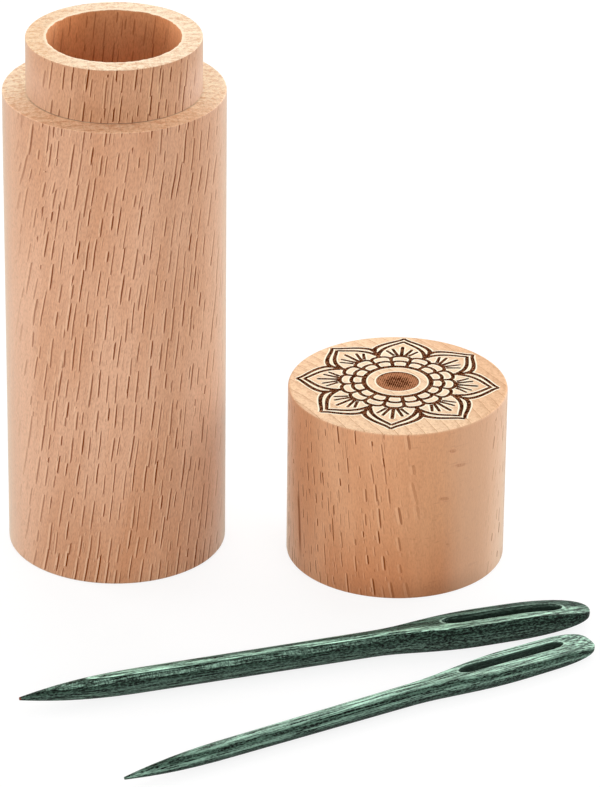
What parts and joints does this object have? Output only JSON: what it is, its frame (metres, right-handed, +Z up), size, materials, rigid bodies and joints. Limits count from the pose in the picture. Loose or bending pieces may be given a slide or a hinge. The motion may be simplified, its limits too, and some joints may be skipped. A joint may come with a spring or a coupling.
{
  "type": "needle case",
  "caption": "Turned wooden needle case, a round tube with a slip-over cap, shown open with its wooden darning needles beside it.",
  "frame": {"origin": "centre of the case body's foot, on the surface that it stands on", "axes": "+Z up along the body's bore; the cap stands beside the body towards +X, the needles lie in front towards -Y"},
  "size_m": [0.0878, 0.0922, 0.0823],
  "materials": {
    "beech_body": "bare beech, finely sanded, dark ray flecks along the grain",
    "beech_cap": "bare beech, finely sanded, with a burnt rosette on its end-grain top",
    "green_laminate_dark": "green-dyed laminated wood, satin lacquer",
    "green_laminate_light": "green-dyed laminated wood, satin lacquer"
  },
  "bodies": {
    "body": {"case_body": "beech_body"},
    "cap": {"cap": "beech_cap"},
    "large_needle": {"large_darning_needle": "green_laminate_dark"},
    "small_needle": {"small_darning_needle": "green_laminate_light"}
  },
  "joints": [
    {"name": "cap_lift", "type": "slide", "parent": "body", "child": "cap", "axis": [0, 0, 1], "range_m": [0, 0.085]},
    {"name": "large_needle_lift", "type": "slide", "parent": "body", "child": "large_needle", "axis": [0, 0, 1], "range_m": [0, 0.085]},
    {"name": "small_needle_lift", "type": "slide", "parent": "body", "child": "small_needle", "axis": [0, 0, 1], "range_m": [0, 0.085]}
  ]
}
